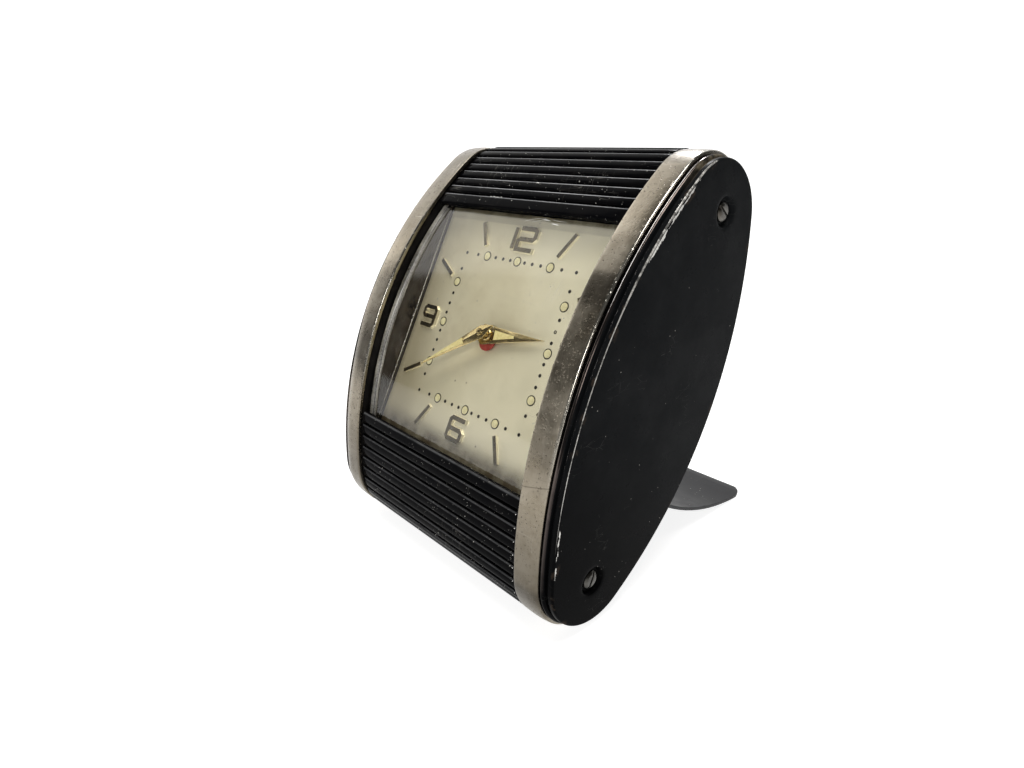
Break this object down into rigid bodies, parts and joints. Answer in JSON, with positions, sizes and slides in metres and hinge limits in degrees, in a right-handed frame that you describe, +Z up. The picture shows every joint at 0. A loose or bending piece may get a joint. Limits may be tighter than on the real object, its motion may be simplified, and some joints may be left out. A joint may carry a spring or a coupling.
{
  "type": "travel alarm clock",
  "caption": "Folding wind-up travel alarm clock with two roll-top slatted shutters over a square dial, leaning back on a hinged rear foot.",
  "frame": {"origin": "middle of the base: centre of the bounding box in X and Y, and the plane that the clock stands on in Z", "axes": "+Z up, the dial faces -Y and leans back 27.1 degrees from upright, X across the width"},
  "size_m": [0.072, 0.08, 0.0857],
  "materials": {
    "black_paint": "semi-gloss black enamel, worn at the edges",
    "nickel": "aged satin nickel plate",
    "slat_lacquer": "gloss black lacquer",
    "dark_frame": "matt black",
    "back_paint": "satin charcoal paint",
    "foot_paint": "satin charcoal paint with a light bloom",
    "steel": "bare steel",
    "brass": "lacquered brass",
    "gilt": "polished gilt",
    "glass": "clear polished",
    "bezel_silver": "polished silver grey",
    "dial_face": "champagne satin lacquer",
    "alarm_red": "matt red paint"
  },
  "bodies": {
    "case": {"right_cheek": "black_paint", "left_cheek": "black_paint", "right_band": "nickel", "left_band": "nickel", "right_side_frame": "dark_frame", "left_side_frame": "dark_frame", "upper_tie_rod": "steel", "lower_tie_rod": "steel", "right_upper_cheek_screw": "steel", "right_lower_cheek_screw": "steel", "left_upper_cheek_screw": "steel", "left_lower_cheek_screw": "steel", "case_back": "back_paint", "foot_hinge_pin": "steel", "crystal": "glass", "dial_bezel": "bezel_silver", "dial": "dial_face", "movement_front_plate": "brass", "movement_back_plate": "brass", "time_mainspring_drum": "brass", "alarm_mainspring_drum": "brass"},
    "upper_shutter_lead": {"upper_shutter_lead": "slat_lacquer"},
    "upper_slat_01": {"upper_slat_01": "slat_lacquer"},
    "upper_slat_02": {"upper_slat_02": "slat_lacquer"},
    "upper_slat_03": {"upper_slat_03": "slat_lacquer"},
    "upper_slat_04": {"upper_slat_04": "slat_lacquer"},
    "upper_slat_05": {"upper_slat_05": "slat_lacquer"},
    "upper_slat_06": {"upper_slat_06": "slat_lacquer"},
    "upper_slat_07": {"upper_slat_07": "slat_lacquer"},
    "upper_slat_08": {"upper_slat_08": "slat_lacquer"},
    "upper_slat_09": {"upper_slat_09": "slat_lacquer"},
    "upper_slat_10": {"upper_slat_10": "slat_lacquer"},
    "upper_slat_11": {"upper_slat_11": "slat_lacquer"},
    "upper_shutter_tail": {"upper_shutter_tail": "slat_lacquer"},
    "lower_shutter_lead": {"lower_shutter_lead": "slat_lacquer"},
    "lower_slat_01": {"lower_slat_01": "slat_lacquer"},
    "lower_slat_02": {"lower_slat_02": "slat_lacquer"},
    "lower_slat_03": {"lower_slat_03": "slat_lacquer"},
    "lower_slat_04": {"lower_slat_04": "slat_lacquer"},
    "lower_slat_05": {"lower_slat_05": "slat_lacquer"},
    "lower_slat_06": {"lower_slat_06": "slat_lacquer"},
    "lower_slat_07": {"lower_slat_07": "slat_lacquer"},
    "lower_slat_08": {"lower_slat_08": "slat_lacquer"},
    "lower_slat_09": {"lower_slat_09": "slat_lacquer"},
    "lower_shutter_tail": {"lower_shutter_tail": "slat_lacquer"},
    "foot": {"foot": "foot_paint"},
    "minute_hand": {"minute_hand": "gilt", "centre_wheel": "brass", "time_set_knob": "brass"},
    "hour_hand": {"hour_hand": "gilt"},
    "alarm_hand": {"alarm_hand": "alarm_red"},
    "alarm_set_knob": {"alarm_set_knob": "brass"},
    "time_wind_key": {"time_wind_key": "brass"},
    "alarm_wind_key": {"alarm_wind_key": "brass"},
    "alarm_shutoff_button": {"alarm_shutoff_button": "nickel"},
    "escape_wheel": {"escape_wheel": "brass"},
    "balance_wheel": {"balance_wheel": "brass"},
    "alarm_hammer": {"alarm_hammer": "steel"}
  },
  "joints": [
    {"name": "upper_shutter", "type": "hinge", "parent": "case", "child": "upper_shutter_lead", "pos_m": [0, 0.04687, 0.01269], "axis": [1, 0, 0], "range_deg": [0, 18.2]},
    {"name": "upper_slat_01_turn", "type": "hinge", "parent": "case", "child": "upper_slat_01", "pos_m": [0, 0.03363, 0.02691], "axis": [1, 0, 0], "range_deg": [0, 23.57]},
    {"name": "upper_slat_02_turn", "type": "hinge", "parent": "case", "child": "upper_slat_02", "pos_m": [0, 0.01839, 0.04416], "axis": [1, 0, 0], "range_deg": [0, 36.04]},
    {"name": "upper_slat_03_turn", "type": "hinge", "parent": "case", "child": "upper_slat_03", "pos_m": [0, 0.01135, 0.05307], "axis": [1, 0, 0], "range_deg": [0, 48.51]},
    {"name": "upper_slat_04_turn", "type": "hinge", "parent": "case", "child": "upper_slat_04", "pos_m": [0, 0.00753, 0.05872], "axis": [1, 0, 0], "range_deg": [0, 60.98]},
    {"name": "upper_slat_05_turn", "type": "hinge", "parent": "case", "child": "upper_slat_05", "pos_m": [0, 0.00532, 0.06272], "axis": [1, 0, 0], "range_deg": [0, 73.45]},
    {"name": "upper_slat_06_turn", "type": "hinge", "parent": "case", "child": "upper_slat_06", "pos_m": [0, 0.00406, 0.06576], "axis": [1, 0, 0], "range_deg": [0, 85.91]},
    {"name": "upper_slat_07_turn", "type": "hinge", "parent": "case", "child": "upper_slat_07", "pos_m": [0, 0.00341, 0.06816], "axis": [1, 0, 0], "range_deg": [0, 98.38]},
    {"name": "upper_slat_08_turn", "type": "hinge", "parent": "case", "child": "upper_slat_08", "pos_m": [0, 0.00319, 0.07011], "axis": [1, 0, 0], "range_deg": [0, 110.85]},
    {"name": "upper_slat_09_turn", "type": "hinge", "parent": "case", "child": "upper_slat_09", "pos_m": [0, 0.00328, 0.07171], "axis": [1, 0, 0], "range_deg": [0, 123.32]},
    {"name": "upper_slat_10_turn", "type": "hinge", "parent": "case", "child": "upper_slat_10", "pos_m": [0, 0.00363, 0.07302], "axis": [1, 0, 0], "range_deg": [0, 135.78]},
    {"name": "upper_slat_11_turn", "type": "hinge", "parent": "case", "child": "upper_slat_11", "pos_m": [0, 0.00417, 0.07407], "axis": [1, 0, 0], "range_deg": [0, 148.25]},
    {"name": "upper_shutter_tail_turn", "type": "hinge", "parent": "case", "child": "upper_shutter_tail", "pos_m": [0, 0.0047, 0.07471], "axis": [1, 0, 0], "range_deg": [0, 157.56]},
    {"name": "lower_shutter", "type": "hinge", "parent": "case", "child": "lower_shutter_lead", "pos_m": [0, 0.04687, 0.01269], "axis": [-1, 0, 0], "range_deg": [0, 16.83]},
    {"name": "lower_slat_01_turn", "type": "hinge", "parent": "case", "child": "lower_slat_01", "pos_m": [0, 0.02927, 0.01484], "axis": [-1, 0, 0], "range_deg": [0, 21.26]},
    {"name": "lower_slat_02_turn", "type": "hinge", "parent": "case", "child": "lower_slat_02", "pos_m": [0, 0.0023, 0.01742], "axis": [-1, 0, 0], "range_deg": [0, 35.3]},
    {"name": "lower_slat_03_turn", "type": "hinge", "parent": "case", "child": "lower_slat_03", "pos_m": [0, -0.00955, 0.01776], "axis": [-1, 0, 0], "range_deg": [0, 49.34]},
    {"name": "lower_slat_04_turn", "type": "hinge", "parent": "case", "child": "lower_slat_04", "pos_m": [0, -0.01625, 0.01734], "axis": [-1, 0, 0], "range_deg": [0, 63.38]},
    {"name": "lower_slat_05_turn", "type": "hinge", "parent": "case", "child": "lower_slat_05", "pos_m": [0, -0.02051, 0.01657], "axis": [-1, 0, 0], "range_deg": [0, 77.42]},
    {"name": "lower_slat_06_turn", "type": "hinge", "parent": "case", "child": "lower_slat_06", "pos_m": [0, -0.02341, 0.01561], "axis": [-1, 0, 0], "range_deg": [0, 91.47]},
    {"name": "lower_slat_07_turn", "type": "hinge", "parent": "case", "child": "lower_slat_07", "pos_m": [0, -0.02541, 0.01453], "axis": [-1, 0, 0], "range_deg": [0, 105.51]},
    {"name": "lower_slat_08_turn", "type": "hinge", "parent": "case", "child": "lower_slat_08", "pos_m": [0, -0.02678, 0.01338], "axis": [-1, 0, 0], "range_deg": [0, 119.55]},
    {"name": "lower_slat_09_turn", "type": "hinge", "parent": "case", "child": "lower_slat_09", "pos_m": [0, -0.02767, 0.01219], "axis": [-1, 0, 0], "range_deg": [0, 133.59]},
    {"name": "lower_shutter_tail_turn", "type": "hinge", "parent": "case", "child": "lower_shutter_tail", "pos_m": [0, -0.0281, 0.01118], "axis": [-1, 0, 0], "range_deg": [0, 145.43]},
    {"name": "foot_hinge", "type": "hinge", "parent": "case", "child": "foot", "pos_m": [0, -0.00348, 0.01599], "axis": [1, 0, 0], "range_deg": [0, 85.19]},
    {"name": "minute_hand_turn", "type": "hinge", "parent": "case", "child": "minute_hand", "pos_m": [0, -0.02113, 0.04861], "axis": [0, 0.8902, -0.4555], "continuous": true},
    {"name": "hour_hand_turn", "type": "hinge", "parent": "case", "child": "hour_hand", "pos_m": [0, -0.02113, 0.04861], "axis": [0, 0.8902, -0.4555], "continuous": true},
    {"name": "alarm_knob_turn", "type": "hinge", "parent": "case", "child": "alarm_set_knob", "pos_m": [0, 0.00305, 0.05197], "axis": [0, 0.8902, -0.4555], "continuous": true},
    {"name": "alarm_hand_turn", "type": "hinge", "parent": "case", "child": "alarm_hand", "pos_m": [0, -0.02113, 0.04861], "axis": [0, 0.8902, -0.4555], "continuous": true},
    {"name": "time_wind_key_turn", "type": "hinge", "parent": "case", "child": "time_wind_key", "pos_m": [0.012, -0.00515, 0.03594], "axis": [0, 0.8902, -0.4555], "continuous": true},
    {"name": "alarm_wind_key_turn", "type": "hinge", "parent": "case", "child": "alarm_wind_key", "pos_m": [-0.012, -0.00515, 0.03594], "axis": [0, 0.8902, -0.4555], "continuous": true},
    {"name": "alarm_shutoff_push", "type": "slide", "parent": "case", "child": "alarm_shutoff_button", "axis": [0, -0.8902, 0.4555], "range_m": [0, 0.002], "stiffness_N_per_m": 120},
    {"name": "escape_wheel_turn", "type": "hinge", "parent": "case", "child": "escape_wheel", "pos_m": [0.0085, -0.00877, 0.05521], "axis": [0, 0.8902, -0.4555], "continuous": true},
    {"name": "balance_swing", "type": "hinge", "parent": "case", "child": "balance_wheel", "pos_m": [-0.0075, -0.00566, 0.05249], "axis": [0, 0.8902, -0.4555], "range_deg": [-150, 150], "stiffness_Nm_per_rad": 0.00002},
    {"name": "hammer_swing", "type": "hinge", "parent": "case", "child": "alarm_hammer", "pos_m": [0.0005, -0.01997, 0.02892], "axis": [0, 0.8902, -0.4555], "range_deg": [-8, 8], "stiffness_Nm_per_rad": 0.002}
  ],
  "couplings": [
    {"joint": "upper_slat_01_turn", "follows": "upper_shutter", "ratio": 1.2947},
    {"joint": "upper_slat_02_turn", "follows": "upper_shutter", "ratio": 1.9798},
    {"joint": "upper_slat_03_turn", "follows": "upper_shutter", "ratio": 2.6648},
    {"joint": "upper_slat_04_turn", "follows": "upper_shutter", "ratio": 3.3499},
    {"joint": "upper_slat_05_turn", "follows": "upper_shutter", "ratio": 4.0349},
    {"joint": "upper_slat_06_turn", "follows": "upper_shutter", "ratio": 4.72},
    {"joint": "upper_slat_07_turn", "follows": "upper_shutter", "ratio": 5.405},
    {"joint": "upper_slat_08_turn", "follows": "upper_shutter", "ratio": 6.0901},
    {"joint": "upper_slat_09_turn", "follows": "upper_shutter", "ratio": 6.7751},
    {"joint": "upper_slat_10_turn", "follows": "upper_shutter", "ratio": 7.4602},
    {"joint": "upper_slat_11_turn", "follows": "upper_shutter", "ratio": 8.1452},
    {"joint": "upper_shutter_tail_turn", "follows": "upper_shutter", "ratio": 8.6568},
    {"joint": "lower_slat_01_turn", "follows": "lower_shutter", "ratio": 1.2625},
    {"joint": "lower_slat_02_turn", "follows": "lower_shutter", "ratio": 2.0969},
    {"joint": "lower_slat_03_turn", "follows": "lower_shutter", "ratio": 2.9312},
    {"joint": "lower_slat_04_turn", "follows": "lower_shutter", "ratio": 3.7655},
    {"joint": "lower_slat_05_turn", "follows": "lower_shutter", "ratio": 4.5998},
    {"joint": "lower_slat_06_turn", "follows": "lower_shutter", "ratio": 5.4341},
    {"joint": "lower_slat_07_turn", "follows": "lower_shutter", "ratio": 6.2684},
    {"joint": "lower_slat_08_turn", "follows": "lower_shutter", "ratio": 7.1027},
    {"joint": "lower_slat_09_turn", "follows": "lower_shutter", "ratio": 7.9371},
    {"joint": "lower_shutter_tail_turn", "follows": "lower_shutter", "ratio": 8.6404},
    {"joint": "hour_hand_turn", "follows": "minute_hand_turn", "ratio": 0.083333},
    {"joint": "alarm_hand_turn", "follows": "alarm_knob_turn", "ratio": -1}
  ]
}
